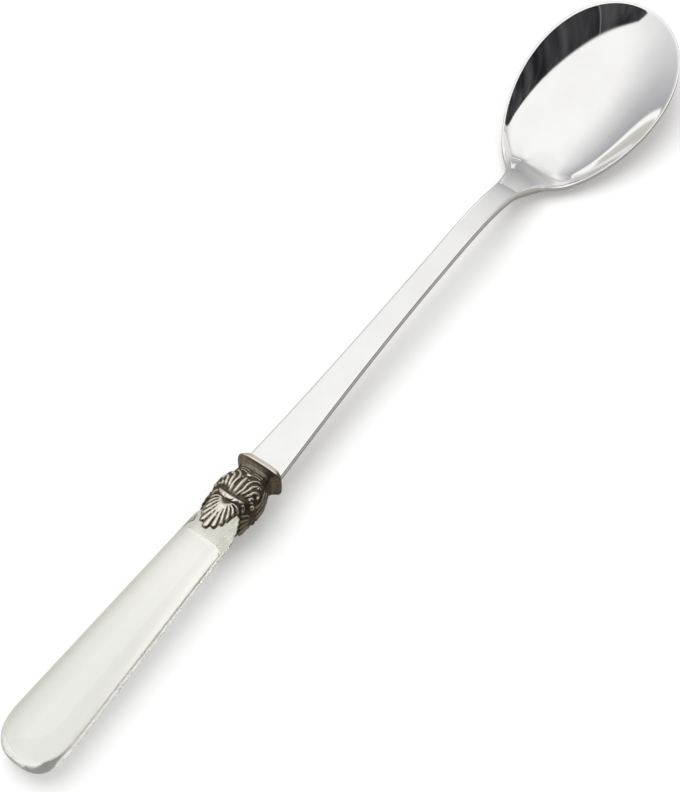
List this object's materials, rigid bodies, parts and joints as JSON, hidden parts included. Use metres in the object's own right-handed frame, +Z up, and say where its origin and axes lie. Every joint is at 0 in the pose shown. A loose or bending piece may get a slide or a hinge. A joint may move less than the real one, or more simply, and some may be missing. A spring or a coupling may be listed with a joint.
{
  "type": "sorbet spoon",
  "caption": "Long sorbet spoon: polished steel bowl and stem, cast antique-silver leaf ferrule and a clear tapering handle.",
  "frame": {"origin": "On the table plane, halfway along the spoon's length and on its middle line", "axes": "+X from the handle's butt to the bowl's tip, +Y to the left of that, +Z up out of the bowl's hollow"},
  "size_m": [0.2206, 0.0322, 0.0133],
  "materials": {
    "polished_steel": "mirror polished",
    "antique_silver": "cast and darkened, high places rubbed bright",
    "clear_acrylic": "clear, moulded and polished",
    "clear_cement": "clear set resin"
  },
  "bodies": {
    "root": {"bowl_and_stem": "polished_steel", "ferrule": "antique_silver", "handle": "clear_acrylic", "socket_cement": "clear_cement"}
  },
  "joints": []
}
